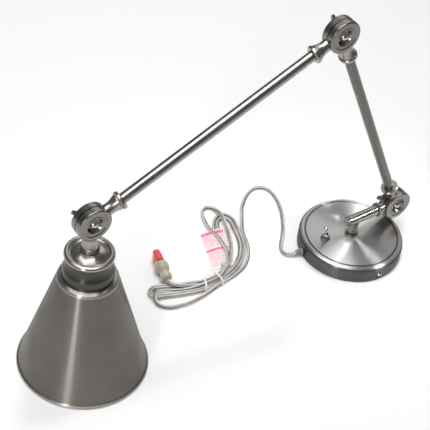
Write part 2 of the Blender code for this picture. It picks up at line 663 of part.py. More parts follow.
# ------------------------------------------------------------------ cord, hank and plug
def build_cord():
    outward = polar(1.0, CORD_EXIT_ANGLE)
    inside = PLATE_R - PLATE_SHEET
    turned("cord_strain_relief", [
        (0.0, PLATE_R + RELIEF_REACH), (0.0029, PLATE_R + RELIEF_REACH), (0.0036, PLATE_R + 0.0016),
        (0.0048, PLATE_R + 0.0013), (0.0048, PLATE_R + GAP), (0.0037, PLATE_R + GAP),
        (0.0037, inside - 0.0004), (0.0046, inside - 0.0007), (0.0046, inside - 0.0020),
        (0.0026, PLATE_R - RELIEF_INSIDE), (0.0, PLATE_R - RELIEF_INSIDE),
    ], "clear_vinyl", aim((0.0, 0.0, CORD_EXIT_Z), outward), SMALL_STEPS)
    start = polar(PLATE_R + RELIEF_REACH + GAP, CORD_EXIT_ANGLE, CORD_EXIT_Z)
    route = [start, *LEAD_ROUTE]
    wire("cord_lead", smooth_curve(route, CORD_SPACING), CORD_R, "clear_vinyl")
    edge = [point[:2] for point in smooth_curve([(x, y, 0.0) for x, y in HANK_OUTLINE], 0.0075)]
    hank = as_mesh(flat_outline("cord_hank", edge, HANK_HIGH - HANK_LOW))
    show(hank, "clear_vinyl", Matrix.Translation((0.0, 0.0, (HANK_LOW + HANK_HIGH) / 2)))


def build_plug():
    """Two-blade plug with a cap over its blades. It lies on its edge, one blade over the other."""
    face = PLUG_FACE
    turned("plug_body", [
        (0.0, face), (0.0078, face), (0.0085, face - 0.0008), (0.0089, 0.0245), (0.0090, 0.0205),
        (0.0086, 0.0172), (0.0076, 0.0144), (0.0066, 0.0124), (0.0066, 0.0108), (0.0070, 0.0078),
        (0.0067, 0.0046), (0.0055, 0.0018), (0.0030, 0.0), (0.0, 0.0),
    ], "tan_vinyl", aim(PLUG_BASE, PLUG_ALONG))
    frame = axes(PLUG_BASE, PLUG_ALONG, Vector((-PLUG_ALONG.y, PLUG_ALONG.x, 0.0)))
    foot = face + GAP
    tip = foot + BLADE_LENGTH
    for number, height in enumerate((-BLADE_SPACING / 2, BLADE_SPACING / 2)):
        show(block(f"plug_blade_{number + 1}", (foot, -0.0031, height - 0.00075),
                   (tip, 0.0031, height + 0.00075)), "brass", frame)
    cap = show(block("plug_cap", (foot, -0.0045, -0.0083), (tip + 0.0015, 0.0045, 0.0083)),
               "red_plastic", frame)
    pocket = block("plug_cap_pocket", (foot - 0.0010, -0.0031 - GAP, -0.0074),
                   (tip + GAP, 0.0031 + GAP, 0.0074))
    combine(cap, pocket, frame)


def build_ties_and_tag():
    for number, ((x, y), turn, half) in enumerate(TIES):
        frame = Matrix.Translation((x, y, 0.0)) @ Matrix.Rotation(math.radians(turn), 4, "Z")
        band = show(block(f"twist_tie_{number + 1}", (-0.0011, -half, 0.0),
                          (0.0011, half, HANK_HIGH + 0.0010)), "white_plastic", frame)
        opening = block(f"tie_opening_{number + 1}", (-0.0050, 0.0006 - half, HANK_LOW - GAP),
                        (0.0050, half - 0.0006, HANK_HIGH + GAP))
        combine(band, opening, frame)
    half_x, half_y = TAG_SIZE[0] / 2, TAG_SIZE[1] / 2
    show(block("warning_tag", (-half_x, -half_y, 0.0), (half_x, half_y, 0.0004)), "paper",
         Matrix.Translation((*TAG_CENTRE, 0.0)) @ Matrix.Rotation(math.radians(TAG_TURN), 4, "Z"))


# ------------------------------------------------------------------ assembly
def main():
    for obj in list(bpy.data.objects):
        bpy.data.objects.remove(obj)
    for collection in (LAMP, CUTTERS):
        bpy.context.scene.collection.children.link(collection)

    build_backplate()
    build_bracket()
    build_side_screws()
    build_switch()

    swivel = add_empty("base_swivel_pivot", (0.0, 0.0, 0.0))
    lower = add_empty("lower_pivot", LOWER_JOINT, swivel)
    elbow = add_empty("elbow_pivot", ELBOW_JOINT, lower)
    head = add_empty("head_pivot", HEAD_JOINT, elbow)

    build_post(swivel)
    spigot = build_stub(swivel)
    socket = TUBE_R + GAP
    nipple_socket = NIPPLE_R + GAP
    build_knuckle("lower", LOWER_JOINT,
                  ("lower_knuckle_front", -STUB_DIR, spigot + GAP, STUB_NECK_END, swivel),
                  ("lower_knuckle_rear", LOWER_DIR, socket, NECK_END, lower))
    build_arm_tube("lower_arm_tube", LOWER_JOINT, LOWER_DIR, LOWER_ARM, lower)
    build_knuckle("elbow", ELBOW_JOINT,
                  ("elbow_knuckle_front", -LOWER_DIR, socket, NECK_END, lower),
                  ("elbow_knuckle_rear", UPPER_DIR, socket, NECK_END, elbow))
    build_arm_tube("upper_arm_tube", ELBOW_JOINT, UPPER_DIR, UPPER_ARM, elbow)
    build_knuckle("head", HEAD_JOINT,
                  ("head_knuckle_front", -UPPER_DIR, socket, NECK_END, elbow),
                  ("head_knuckle_rear", DOWN, nipple_socket, NECK_END, head))
    build_head(head)

    build_cord()
    build_plug()
    build_ties_and_tag()


main()
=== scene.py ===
"""Looks for the swing-arm wall lamp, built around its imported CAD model."""
import json
import math

import bmesh
import bpy
import numpy as np
from mathutils import Matrix, Vector


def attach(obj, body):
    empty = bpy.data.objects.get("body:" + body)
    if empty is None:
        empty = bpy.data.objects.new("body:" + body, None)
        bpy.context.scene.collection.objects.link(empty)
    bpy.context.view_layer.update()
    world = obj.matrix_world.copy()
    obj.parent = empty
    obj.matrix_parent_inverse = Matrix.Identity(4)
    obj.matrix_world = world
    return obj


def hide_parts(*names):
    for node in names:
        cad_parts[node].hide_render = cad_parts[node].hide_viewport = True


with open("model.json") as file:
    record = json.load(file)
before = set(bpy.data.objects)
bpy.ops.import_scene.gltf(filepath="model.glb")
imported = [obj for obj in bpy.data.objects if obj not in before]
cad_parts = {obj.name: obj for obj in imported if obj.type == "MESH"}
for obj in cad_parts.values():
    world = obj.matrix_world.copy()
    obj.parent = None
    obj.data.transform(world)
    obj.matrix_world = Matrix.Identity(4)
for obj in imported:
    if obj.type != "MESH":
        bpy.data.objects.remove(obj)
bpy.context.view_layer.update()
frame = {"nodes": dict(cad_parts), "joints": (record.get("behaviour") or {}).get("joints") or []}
NODES = frame["nodes"]


# ------------------------------------------------------------------ camera
CAMERA_SPOT = Vector((-0.9528, -0.8503, 1.1709))
CAMERA_AZIMUTH = math.radians(-40.4047)
CAMERA_ELEVATION = math.radians(42.3862)
CAMERA_ROLL = math.radians(8.5956)
FOCAL_IN_WIDTHS = 1348.2091 / 430


def make_camera():
    back = Vector((math.sin(CAMERA_AZIMUTH) * math.cos(CAMERA_ELEVATION),
                   -math.cos(CAMERA_AZIMUTH) * math.cos(CAMERA_ELEVATION),
                   math.sin(CAMERA_ELEVATION)))
    forward = -back
    right = forward.cross(Vector((0, 0, 1))).normalized()
    up = right.cross(forward)
    cos_roll, sin_roll = math.cos(CAMERA_ROLL), math.sin(CAMERA_ROLL)
    x_axis = right * cos_roll + up * sin_roll
    y_axis = up * cos_roll - right * sin_roll
    data = bpy.data.cameras.new("camera")
    data.sensor_width = 36
    data.lens = FOCAL_IN_WIDTHS * data.sensor_width
    camera = bpy.data.objects.new("camera", data)
    rotation = Matrix((x_axis, y_axis, back)).transposed().to_4x4()
    camera.matrix_world = Matrix.Translation(CAMERA_SPOT) @ rotation
    bpy.context.scene.collection.objects.link(camera)
    bpy.context.scene.camera = camera


make_camera()


# ------------------------------------------------------------------ small helpers
CURVE_STEPS = 24            # straight steps between two points of a smooth route


def polar(radius, degrees, height=0.0):
    angle = math.radians(degrees)
    return Vector((radius * math.cos(angle), radius * math.sin(angle), height))


def add_object(name, data):
    obj = bpy.data.objects.new(name, data)
    bpy.context.scene.collection.objects.link(obj)
    return obj


def smooth_by_angle(mesh, degrees):
    mesh.shade_smooth()
    mesh.set_sharp_from_angle(angle=math.radians(degrees))


def mesh_object(name, vertices, faces, degrees):
    mesh = bpy.data.meshes.new(name)
    mesh.from_pydata([tuple(v) for v in vertices], [], faces)
    mesh.update()
    smooth_by_angle(mesh, degrees)
    return add_object(name, mesh)


def ring_faces(rings, around):
    """Faces of a closed tube of rings with the same number of points, and its two ends."""
    faces = []
    for i in range(rings - 1):
        for j in range(around):
            k = (j + 1) % around
            faces.append((i * around + j, i * around + k, (i + 1) * around + k, (i + 1) * around + j))
    last = (rings - 1) * around
    return faces + [tuple(reversed(range(around))), tuple(range(last, last + around))]


def finish_piece(obj, material, body, slot, *nodes):
    """Give a new piece its material and body, and hide the CAD nodes that it stands for. Its slot is not
    used.
    """
    obj.data.materials.clear()
    obj.data.materials.append(material)
    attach(obj, body)
    if nodes:
        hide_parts(*nodes)
    return obj


def distance_along(points):
    return np.concatenate([[0], np.cumsum(np.linalg.norm(np.diff(points, axis=0), axis=1))])


def smooth_route(route, spacing):
    """Evenly spaced points on a smooth curve through the route; any number of columns."""
    route = np.array(route, float)
    ends = np.vstack([2 * route[0] - route[1], route, 2 * route[-1] - route[-2]])
    dense = []
    for a, b, c, d in zip(ends, ends[1:], ends[2:], ends[3:]):
        for t in np.arange(CURVE_STEPS) / CURVE_STEPS:
            dense.append((2 * b + (c - a) * t + (2 * a - 5 * b + 4 * c - d) * t * t
                          + (3 * b - a - 3 * c + d) * t * t * t) / 2)
    dense = np.array(dense + [route[-1]])
    reach = distance_along(dense[:, :3])
    at = np.linspace(0, reach[-1], round(reach[-1] / spacing) + 1)
    return np.stack([np.interp(at, reach, dense[:, k]) for k in range(dense.shape[1])], axis=1)


# ------------------------------------------------------------------ node trees
class Tree:
    """A short way to write a material's nodes."""

    def __init__(self, name):
        self.material = bpy.data.materials.new(name)
        self.material.use_nodes = True
        self.nodes = self.material.node_tree.nodes
        self.links = self.material.node_tree.links
        self.shader = self.nodes["Principled BSDF"]
        self.object_coords = None

    def add(self, kind, **settings):
        node = self.nodes.new("ShaderNode" + kind)
        for key, value in settings.items():
            setattr(node, key, value)
        return node

    def put(self, socket, value):
        if isinstance(value, bpy.types.NodeSocket):
            self.links.new(value, socket)
        elif isinstance(value, (tuple, list, Vector)) and socket.type == "RGBA":
            socket.default_value = (*value[:3], 1)
        else:
            socket.default_value = value

    def coords(self):
        if self.object_coords is None:
            self.object_coords = self.add("TexCoord").outputs["Object"]
        return self.object_coords

    def math(self, operation, a, b=0.0, clamp=False):
        node = self.add("Math", operation=operation, use_clamp=clamp)
        self.put(node.inputs[0], a)
        self.put(node.inputs[1], b)
        return node.outputs[0]

    def vector(self, operation, a, b=(0, 0, 0), scale=1.0, out=0):
        node = self.add("VectorMath", operation=operation)
        self.put(node.inputs[0], a)
        if operation == "SCALE":
            self.put(node.inputs["Scale"], scale)
        else:
            self.put(node.inputs[1], b)
        return node.outputs[out]

    def combine(self, x, y, z):
        node = self.add("CombineXYZ")
        for socket, value in zip(node.inputs, (x, y, z)):
            self.put(socket, value)
        return node.outputs[0]

    def separate(self, vector):
        node = self.add("SeparateXYZ")
        self.put(node.inputs[0], vector)
        return node.outputs

    def noise(self, vector, scale, detail, rough):
        node = self.add("TexNoise")
        self.put(node.inputs["Vector"], vector)
        node.inputs["Scale"].default_value = scale
        node.inputs["Detail"].default_value = detail
        node.inputs["Roughness"].default_value = rough
        return node.outputs["Fac"]

    def remap(self, value, low, high, to_low, to_high):
        node = self.add("MapRange")
        self.put(node.inputs[0], value)
        for socket, number in zip(node.inputs[1:5], (low, high, to_low, to_high)):
            self.put(socket, number)
        return node.outputs[0]

    def mix(self, factor, a, b):
        node = self.add("Mix", data_type="RGBA")
        self.put(node.inputs["Factor"], factor)
        self.put(node.inputs[6], a)
        self.put(node.inputs[7], b)
        return node.outputs[2]

    def bump(self, height, strength, distance, normal=None):
        node = self.add("Bump")
        node.inputs["Strength"].default_value = strength
        node.inputs["Distance"].default_value = distance
        self.put(node.inputs["Height"], height)
        if normal is not None:
            self.put(node.inputs["Normal"], normal)
        return node.outputs[0]

    def set(self, **inputs):
        for key, value in inputs.items():
            self.put(self.shader.inputs[key.replace("_", " ")], value)
        return self.material


def around_axis(tree, point, axis):
    """The surface point's radius from an axis, height along it, and two places across it."""
    axis = Vector(axis).normalized()
    side = axis.orthogonal().normalized()
    other = axis.cross(side)
    local = tree.vector("SUBTRACT", tree.coords(), tuple(point))
    x = tree.vector("DOT_PRODUCT", local, tuple(side), out=1)
    y = tree.vector("DOT_PRODUCT", local, tuple(other), out=1)
    height = tree.vector("DOT_PRODUCT", local, tuple(axis), out=1)
    squares = tree.math("ADD", tree.math("MULTIPLY", x, x), tree.math("MULTIPLY", y, y))
    return tree.math("SQRT", squares), height, x, y


# ------------------------------------------------------------------ metals
RADIUS, HEIGHT = 0, 1
FAR = 1.0                   # a band's limit that lies past the whole part
BAND_EDGE = 0.0003          # half of the width over which a band's tone fades in
QUARTER_TURN = 0.25         # spreads the gloss across the brushed lines


def brushed(name, colour, point, axis, roughness, pitch=1500.0, anisotropy=0.0,
            along=False, grooves=0.35, painted_light_bands=()):
    """Brushed plating. Its lines run round the given axis, or along it.

    Each band is (RADIUS or HEIGHT, low, high, factor): between low and high the plating's tone is multiplied
    by the factor, which paints shade (below 1) or a highlight (above 1) onto that part of it.
    """
    tree = Tree(name)
    radius, height, x, y = around_axis(tree, point, axis)
    if along:
        lines = tree.combine(tree.math("MULTIPLY", x, pitch), tree.math("MULTIPLY", y, pitch),
                             tree.math("MULTIPLY", height, pitch * 0.012))
    else:
        turn = tree.math("ARCTAN2", y, x)
        lines = tree.combine(tree.math("MULTIPLY", radius, pitch), tree.math("MULTIPLY", height, pitch),
                             tree.math("MULTIPLY", turn, 0.35))
    fine = tree.noise(lines, 1.0, 4.0, 0.7)
    broad = tree.noise(lines, 0.22, 2.0, 0.5)
    smudge = tree.noise(tree.coords(), 26.0, 4.0, 0.6)
    cloud = tree.noise(tree.coords(), 9.0, 2.0, 0.5)
    dark = tuple(c * 0.86 for c in colour)
    light = tuple(min(1.0, c * 1.10) for c in colour)
    tone = tree.mix(tree.remap(fine, 0.3, 0.7, 0.0, 1.0), dark, light)
    tone = tree.mix(tree.remap(broad, 0.35, 0.65, 0.0, 0.18), tone, light)
    tone = tree.mix(tree.remap(smudge, 0.55, 0.8, 0.0, 0.22), tone, tuple(c * 0.8 for c in colour))
    # Painted shade or painted highlight inside each band.
    for measure, low, high, factor in painted_light_bands:
        place = (radius, height)[measure]
        inside = tree.math("MULTIPLY", tree.remap(place, low - BAND_EDGE, low + BAND_EDGE, 0.0, 1.0),
                           tree.remap(place, high - BAND_EDGE, high + BAND_EDGE, 1.0, 0.0))
        tone = tree.mix(inside, tone, tree.vector("SCALE", tone, scale=factor))
    rough = tree.remap(fine, 0.25, 0.75, roughness - 0.05, roughness + 0.07)
    rough = tree.math("ADD", rough, tree.remap(smudge, 0.45, 0.75, 0.0, 0.07))
    rough = tree.math("ADD", rough, tree.remap(cloud, 0.4, 0.7, -0.02, 0.03), clamp=True)
    relief = tree.bump(fine, grooves, 0.00003)
    relief = tree.bump(cloud, 0.06, 0.0006, relief)
    tree.set(Base_Color=tone, Metallic=1.0, Roughness=rough, Normal=relief)
    if anisotropy:
        tree.shader.inputs["Anisotropic"].default_value = anisotropy
        tree.shader.inputs["Anisotropic Rotation"].default_value = QUARTER_TURN
        tangent = tree.add("Tangent", direction_type="RADIAL", axis="Z")
        tree.put(tree.shader.inputs["Tangent"], tangent.outputs[0])
    return tree.material


def bright_metal(name, colour, roughness, scratches=0.12):
    """Polished or plain machined metal, with fine scratches and finger marks."""
    tree = Tree(name)
    marks = tree.noise(tree.coords(), 180.0, 5.0, 0.65)
    smear = tree.noise(tree.coords(), 45.0, 3.0, 0.5)
    tone = tree.mix(tree.remap(marks, 0.4, 0.7, 0.0, 0.5), colour, tuple(c * 0.82 for c in colour))
    rough = tree.math("ADD", tree.remap(smear, 0.4, 0.7, roughness - 0.03, roughness + 0.08),
                      tree.remap(marks, 0.55, 0.75, 0.0, 0.08))
    relief = tree.bump(marks, scratches, 0.00004)
    return tree.set(Base_Color=tone, Metallic=1.0, Roughness=rough, Normal=relief)


def plastic(name, colour, roughness, grain, coat=0.0, depth=0.00003, mottle=0.1):
    """Moulded plastic or fibre: fine grain, slight mottling, and a little dust in it."""
    tree = Tree(name)
    fine = tree.noise(tree.coords(), grain, 3.0, 0.6)
    wide = tree.noise(tree.coords(), grain / 16, 3.0, 0.5)
    dusty = tuple(min(1, c * 1.5 + 0.03) for c in colour)
    tone = tree.mix(tree.remap(wide, 0.35, 0.7, 0.0, mottle), colour, dusty)
    rough = tree.remap(fine, 0.3, 0.7, roughness - 0.06, roughness + 0.08)
    tree.set(Base_Color=tone, Roughness=rough, Normal=tree.bump(fine, 0.4, depth))
    tree.shader.inputs["Coat Weight"].default_value = coat
    return tree.material


# ------------------------------------------------------------------ plastics and paper of the cord
def cord_vinyl(name):
    """Clear vinyl over two stranded wires: each wire's strands show through as fine slanted lines."""
    tree = Tree(name)
    place = tree.add("UVMap", uv_map="lay").outputs[0]
    around, along, _ = tree.separate(place)
    # High on the two wires' round sides, low in the web between them, where the web is darkened as painted
    # shade.
    wires_and_web_shade = tree.math("ABSOLUTE", tree.math("SINE", tree.math("MULTIPLY", around, 2 * math.pi)))
    strands = tree.math("SINE", tree.math("ADD", tree.math("MULTIPLY", along, 95.0),
                                          tree.math("MULTIPLY", around, 60.0)))
    stretched = tree.combine(tree.math("MULTIPLY", around, 14.0), tree.math("MULTIPLY", along, 0.6), 0.0)
    streak = tree.noise(stretched, 1.0, 3.0, 0.6)
    cloud = tree.noise(tree.coords(), 60.0, 3.0, 0.55)
    metal = tree.mix(tree.remap(strands, -1.0, 1.0, 0.0, 1.0), (0.56, 0.53, 0.49), (0.92, 0.89, 0.86))
    metal = tree.mix(tree.remap(streak, 0.42, 0.62, 0.0, 0.75), metal, (0.34, 0.31, 0.27))
    # Painted shade: the web between the two wires is darkened to near black.
    tone = tree.mix(tree.remap(wires_and_web_shade, 0.25, 0.7, 0.0, 1.0), (0.10, 0.09, 0.07), metal)
    tone = tree.mix(tree.remap(cloud, 0.4, 0.7, 0.0, 0.3), tone, (0.80, 0.75, 0.72))
    relief = tree.bump(strands, 0.25, 0.00008)
    relief = tree.bump(cloud, 0.15, 0.0005, relief)
    tree.set(Base_Color=tone, Metallic=tree.remap(wires_and_web_shade, 0.2, 0.8, 0.0, 0.35),
             Roughness=tree.remap(streak, 0.3, 0.7, 0.26, 0.42), Normal=relief)
    tree.shader.inputs["Coat Weight"].default_value = 0.7
    tree.shader.inputs["Coat Roughness"].default_value = 0.12
    return tree.material


def soft_vinyl(name, colour, light):
    """Translucent moulded vinyl with faint flow marks, a few specks, and a painted sheen that lightens it
    towards its outline.
    """
    tree = Tree(name)
    flow = tree.noise(tree.coords(), 110.0, 4.0, 0.6)
    wide = tree.noise(tree.coords(), 28.0, 2.0, 0.5)
    specks = tree.noise(tree.coords(), 900.0, 2.0, 0.5)
    tone = tree.mix(tree.remap(wide, 0.35, 0.65, 0.0, 0.7), colour, light)
    tone = tree.mix(tree.remap(flow, 0.5, 0.75, 0.0, 0.35), tone, tuple(c * 0.72 for c in colour))
    tone = tree.mix(tree.remap(specks, 0.68, 0.74, 0.0, 0.4), tone, tuple(c * 0.5 for c in colour))
    # Painted sheen: the tone is lightened where the surface turns away from the view.
    layer = tree.add("LayerWeight")
    layer.inputs["Blend"].default_value = 0.35
    tone = tree.mix(tree.remap(layer.outputs["Facing"], 0.3, 0.95, 0.0, 0.55), tone, light)
    tree.set(Base_Color=tone, Roughness=tree.remap(flow, 0.3, 0.7, 0.14, 0.27),
             Normal=tree.bump(flow, 0.15, 0.0002))
    tree.shader.inputs["Subsurface Weight"].default_value = 0.25
    tree.shader.inputs["Subsurface Scale"].default_value = 0.003
    tree.shader.inputs["Coat Weight"].default_value = 0.5
    tree.shader.inputs["Coat Roughness"].default_value = 0.15
    return tree.material


# The tag's print, in shares of its width from the left and of its height from the top.
TAG_ROWS = 21.0
TAG_BARS = ((0.030, 0.105), (0.475, 0.545))
TAG_CLEAR = (0.44, 0.47)
TAG_PRINT_ACROSS = (0.145, 0.97)
TAG_PRINT_DOWN = (0.02, 0.955)
TAG_INK = (0.84, 0.16, 0.30)


def between(tree, value, low, high):
    return tree.math("MULTIPLY", tree.math("GREATER_THAN", value, low), tree.math("LESS_THAN", value, high))


def printed_paper(name):
    """White paper tag with two heading bars and rows of short dashes in place of a text."""
    tree = Tree(name)
    across, down, _ = tree.separate(tree.add("UVMap", uv_map="lay").outputs[0])
    fibre = tree.noise(tree.coords(), 1500.0, 4.0, 0.65)
    cloud = tree.noise(tree.coords(), 60.0, 3.0, 0.5)
    paper = tree.mix(tree.remap(fibre, 0.35, 0.7, 0.0, 0.5), (0.93, 0.92, 0.91), (0.86, 0.85, 0.84))
    rows = tree.math("SINE", tree.math("MULTIPLY", down, 2 * math.pi * TAG_ROWS))
    row = tree.math("FLOOR", tree.math("MULTIPLY", down, TAG_ROWS))
    by_row = tree.combine(tree.math("MULTIPLY", across, 26.0), tree.math("MULTIPLY", row, 7.3), 0.0)
    dashes = tree.noise(by_row, 1.0, 1.0, 0.5)
    ink = tree.math("MULTIPLY", tree.remap(rows, -0.25, 0.35, 0.0, 1.0),
                    tree.remap(dashes, 0.40, 0.50, 0.15, 1.0))
    ink = tree.math("MULTIPLY", ink, 0.55)
    ink = tree.math("ADD", ink, 0.16)
    for start, end in TAG_BARS:
        blocks = tree.remap(dashes, 0.36, 0.44, 0.55, 1.0)
        ink = tree.mix(between(tree, down, start, end), tree.combine(ink, ink, ink),
                       tree.combine(blocks, blocks, blocks))
    printed = tree.math("MULTIPLY", between(tree, across, *TAG_PRINT_ACROSS),
                        between(tree, down, *TAG_PRINT_DOWN))
    printed = tree.math("MULTIPLY", printed,
                        tree.math("SUBTRACT", 1.0, between(tree, down, *TAG_CLEAR)))
    tone = tree.mix(tree.math("MULTIPLY", ink, printed), paper, TAG_INK)
    tree.set(Base_Color=tone, Roughness=tree.remap(fibre, 0.3, 0.7, 0.5, 0.65),
             Normal=tree.bump(tree.math("ADD", fibre, cloud), 0.2, 0.00006))
    return tree.material


CORD_VINYL = cord_vinyl("clear_vinyl_cord")
RELIEF_VINYL = soft_vinyl("smoky_vinyl_moulding", (0.15, 0.14, 0.125), (0.34, 0.33, 0.30))
TAN_VINYL = soft_vinyl("tan_vinyl_moulding", (0.45, 0.39, 0.285), (0.66, 0.61, 0.50))
RED_PLASTIC = plastic("red_cap_plastic", (0.80, 0.045, 0.03), 0.3, 420.0, coat=0.4, mottle=0.05)
WHITE_PLASTIC = plastic("white_tie_plastic", (0.86, 0.86, 0.88), 0.42, 1100.0, mottle=0.05)
TAG_PAPER = printed_paper("printed_tag_paper")


# ------------------------------------------------------------------ cord, its relief, plug, tie and tag
CORD_LOBE = 1.35            # mm, radius of each of the cord's two insulated wires
CORD_LOBE_SPOT = 1.25       # mm from the cord's middle to a wire's
CORD_WAIST = 0.85           # mm, half of the web's thickness
CORD_SPACING = 4.0          # mm between the rings of the cord's mesh
UV_LENGTH = 0.02            # metres of cord for one unit of its UV map
EXIT_ANGLE = 167.0
EXIT_Z = 0.0056
PLATE_R = 0.0667
RELIEF_INSIDE = 0.0120      # how far it reaches inside the wall
PLUG_BASE = Vector((-0.2445, 0.0513, 0.0094))
PLUG_ALONG = Vector((0.24, 0.971, 0.0)).normalized()
PLUG_FACE = 0.0279          # from the plug's cord end to the face with the blades
CAP_GAP = 0.0003
CAP_CORNER = 0.0019
PLUG_SEAM_ROOM = 0.12       # mm that the plug's body is slimmer by, so its seam stays in the CAD solid

# Columns: x, y and z in mm, and the flat cord's turn from lying flat (0) to on edge (90).
LEAD = [
    (-74.0, 17.1, 5.6, 0), (-78.6, 18.2, 5.3, 0), (-83.6, 21.2, 4.4, 25), (-85.8, 26.8, 3.3, 55),
    (-84.2, 33.5, 2.6, 65), (-79.0, 40.5, 2.3, 50), (-70.0, 50.0, 1.8, 20), (-58.0, 64.0, 1.6, 10),
    (-46.0, 82.0, 1.8, 20), (-37.0, 100.0, 2.1, 35), (-31.8, 118.0, 2.5, 65), (-33.0, 134.0, 2.7, 88),
    (-43.0, 142.0, 2.7, 88), (-56.0, 140.5, 2.6, 70), (-69.0, 133.0, 2.3, 45), (-82.0, 121.5, 1.8, 20),
    (-92.0, 108.5, 1.6, 10), (-101.0, 95.0, 1.6, 10),
]
LOOSE_RUN = [
    (-107.4, 85.2, 1.7, 15), (-111.4, 75.8, 2.0, 30), (-114.8, 65.5, 2.3, 45), (-120.6, 53.6, 2.4, 50),
    (-130.2, 40.8, 2.4, 50), (-144.5, 29.9, 2.4, 50), (-160.0, 24.4, 2.6, 70), (-174.0, 21.4, 2.7, 85),
    (-188.0, 19.3, 2.7, 85), (-203.0, 16.2, 2.4, 45), (-218.0, 13.6, 1.8, 20), (-234.0, 11.9, 1.6, 12),
    (-250.5, 12.9, 1.9, 25), (-263.5, 16.8, 2.4, 55), (-271.8, 24.2, 3.0, 60), (-273.2, 32.4, 4.4, 45),
    (-269.6, 39.8, 6.8, 15), (-262.6, 43.2, 7.2, 5),
]
RUN_2 = [(-253.0, 40.6, 6.2, 25), (-230.6, 31.3, 3.6, 70), (-206.0, 25.6, 7.6, 80), (-186.0, 26.8, 7.7, 80)]
LOOP_A = [
    (-172.3, 34.0, 7.4, 60), (-162.1, 40.8, 6.4, 30), (-153.6, 48.1, 5.4, 15), (-145.7, 57.6, 5.0, 12),
    (-138.1, 67.5, 4.4, 10), (-131.5, 79.7, 3.8, 10), (-125.7, 92.6, 4.8, 10), (-121.4, 106.5, 6.6, 8),
    (-118.2, 119.4, 6.5, 8), (-117.4, 131.0, 3.3, 40), (-120.4, 138.8, 2.7, 85), (-127.2, 141.6, 2.7, 88),
    (-134.0, 137.8, 2.7, 80), (-138.6, 129.0, 2.3, 45), (-142.0, 117.4, 1.8, 15), (-144.2, 105.2, 2.4, 8),
    (-144.4, 93.6, 4.3, 8), (-144.6, 82.8, 5.0, 8), (-146.8, 70.0, 5.1, 10), (-151.2, 56.6, 5.3, 15),
    (-158.5, 45.4, 6.5, 20), (-170.0, 36.6, 7.2, 55),
]
RUN_3 = [
    (-186.0, 30.2, 7.6, 80), (-204.6, 30.0, 7.3, 75), (-226.9, 40.2, 3.2, 75), (-253.6, 50.7, 2.8, 82),
    (-261.2, 53.6, 2.75, 88), (-266.9, 53.8, 2.75, 90), (-271.8, 50.6, 2.75, 90), (-273.8, 45.4, 2.75, 90),
    (-272.6, 39.8, 2.75, 90), (-268.6, 35.8, 2.75, 88),
]
RUN_4 = [(-260.6, 34.3, 2.75, 82), (-232.9, 25.3, 2.7, 75), (-207.7, 20.0, 2.7, 80), (-186.0, 22.9, 2.7, 85)]
LOOP_C = [
    (-169.0, 26.4, 2.6, 70), (-152.8, 33.3, 2.4, 45), (-137.2, 44.0, 2.0, 30), (-126.2, 56.4, 1.9, 25),
    (-119.4, 68.6, 1.8, 20), (-114.4, 81.6, 1.7, 15), (-110.0, 95.0, 1.8, 20), (-107.2, 107.0, 2.4, 50),
    (-108.6, 116.0, 2.7, 85), (-114.6, 121.2, 2.7, 90), (-122.6, 120.6, 2.6, 75), (-130.5, 115.2, 2.2, 35),
    (-137.0, 106.6, 1.7, 12), (-142.0, 96.5, 1.5, 5), (-146.0, 84.5, 1.5, 5), (-150.6, 70.5, 1.5, 5),
    (-157.2, 56.6, 1.5, 6), (-166.0, 44.5, 1.75, 15), (-176.0, 36.2, 2.7, 80),
]
RUN_5 = [
    (-186.0, 32.2, 2.7, 85), (-204.9, 29.4, 2.7, 80), (-228.3, 37.3, 2.7, 75), (-254.6, 47.6, 2.75, 82),
    (-261.2, 50.7, 2.75, 88), (-265.9, 51.0, 2.75, 90), (-269.6, 48.4, 2.75, 90), (-270.8, 44.4, 2.75, 90),
    (-269.4, 40.4, 2.75, 90), (-265.6, 38.0, 2.75, 88),
]
RUN_6 = [(-258.4, 37.2, 2.75, 82), (-231.7, 28.3, 2.7, 75), (-206.8, 23.2, 2.7, 80), (-186.0, 26.0, 2.7, 85)]
LOOP_B = [
    (-170.6, 30.0, 2.6, 70), (-156.0, 36.2, 2.4, 45), (-141.8, 46.0, 2.0, 30), (-131.0, 57.6, 1.9, 25),
    (-123.6, 70.0, 1.8, 20), (-118.6, 83.0, 1.7, 15), (-115.0, 96.0, 2.1, 35), (-112.6, 104.8, 2.7, 75),
    (-114.2, 111.4, 2.7, 90), (-119.6, 114.8, 2.7, 88), (-126.0, 113.2, 2.6, 70), (-130.8, 107.6, 2.2, 35),
    (-134.0, 99.0, 1.6, 10), (-138.8, 85.0, 1.5, 5), (-143.8, 72.0, 1.5, 5), (-150.0, 60.0, 1.5, 8),
    (-157.5, 49.0, 1.6, 8), (-167.5, 39.0, 2.0, 30),
]
RUN_7 = [
    (-186.0, 29.1, 2.7, 85), (-205.8, 26.2, 2.7, 80), (-222.0, 31.6, 4.6, 60), (-234.0, 36.8, 7.4, 20),
    (-241.6, 42.4, 8.7, 10), (-244.8, 48.0, 9.3, 5), (-244.3, 52.4, 9.4, 0),
]
CORD_ROUTE = [*LEAD, *LOOSE_RUN, *RUN_2, *LOOP_A, *RUN_3, *RUN_4, *LOOP_C, *RUN_5, *RUN_6, *LOOP_B, *RUN_7]
UNDER_TAG = [LOOP_C[11:17], LOOP_B[10:17]]      # the stretches that the tag lies over


def cord_section():
    """Outline of the two-wire cord's section: two round lobes and the web between them."""
    lobe = [(CORD_LOBE_SPOT + CORD_LOBE * math.cos(a), CORD_LOBE * math.sin(a))
            for a in np.radians((-118, -80, -40, 0, 40, 80, 118))]
    right = [*lobe, (0.0, CORD_WAIST)]
    return np.array(right + [(-x, -y) for x, y in right]) * 0.001


